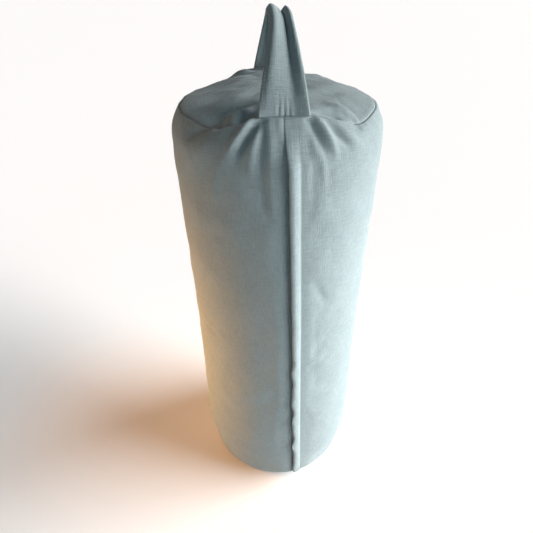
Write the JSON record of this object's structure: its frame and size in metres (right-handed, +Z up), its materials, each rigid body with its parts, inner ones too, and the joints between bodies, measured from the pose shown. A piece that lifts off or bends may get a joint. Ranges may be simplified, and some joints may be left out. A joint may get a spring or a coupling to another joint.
{
  "type": "bolster pillow",
  "caption": "Tall round bolster pillow in a woven cover, with a carrying strap over one end and a zip down its side under a stitched flap.",
  "frame": {"origin": "centre of the flat circle that the pillow stands on", "axes": "+Z up along the pillow's length, -Y towards the zip side"},
  "size_m": [0.22, 0.2262, 0.636],
  "materials": {
    "cover_cloth": "woven linen, matt",
    "casing_cotton": "plain cotton, matt",
    "loose_fill": "fibre filling, matt",
    "sewing_thread": "spun thread, matt",
    "zip_tape": "woven tape, matt",
    "zip_nylon": "nylon coil, satin",
    "slider_metal": "painted zinc, satin"
  },
  "bodies": {
    "cover": {"cover_tube_panel": "cover_cloth", "cover_top_disc": "cover_cloth", "cover_bottom_disc": "cover_cloth", "rim_thread_top": "sewing_thread", "rim_thread_bottom": "sewing_thread", "inner_casing_tube": "casing_cotton", "inner_casing_top_disc": "casing_cotton", "inner_casing_bottom_disc": "casing_cotton", "inner_casing_closing_stitches": "sewing_thread", "filling": "loose_fill", "zip_tape_left": "zip_tape", "zip_tape_right": "zip_tape", "zip_coil_left": "zip_nylon", "zip_coil_right": "zip_nylon", "zip_stop_upper": "slider_metal", "zip_stops_lower": "slider_metal", "flap_end_top": "cover_cloth", "flap_end_bottom": "cover_cloth", "flap_stitching": "sewing_thread", "flap_bar_tack": "sewing_thread", "strap_leg_front": "cover_cloth", "strap_leg_back": "cover_cloth", "strap_tack_front": "sewing_thread", "strap_tack_back": "sewing_thread"},
    "zip_slider_body": {"zip_slider": "slider_metal", "zip_pull_tab": "slider_metal"},
    "flap": {"zip_flap": "cover_cloth"},
    "handle": {"strap_grip": "cover_cloth"}
  },
  "joints": [
    {"name": "handle_swing", "type": "hinge", "parent": "cover", "child": "handle", "pos_m": [0, 0, 0.55], "axis": [0, 1, 0], "range_deg": [-65, 65], "deforming": ["strap_leg_front", "strap_leg_back"]},
    {"name": "flap_lift", "type": "hinge", "parent": "cover", "child": "flap", "pos_m": [0.02171, -0.10948, 0.27927], "axis": [-0.0321, -0.0039, 0.9995], "range_deg": [0, 120]},
    {"name": "zip_slide", "type": "slide", "parent": "cover", "child": "zip_slider_body", "axis": [-0.0321, -0.0039, 0.9995], "range_m": [0, 0.415]}
  ]
}
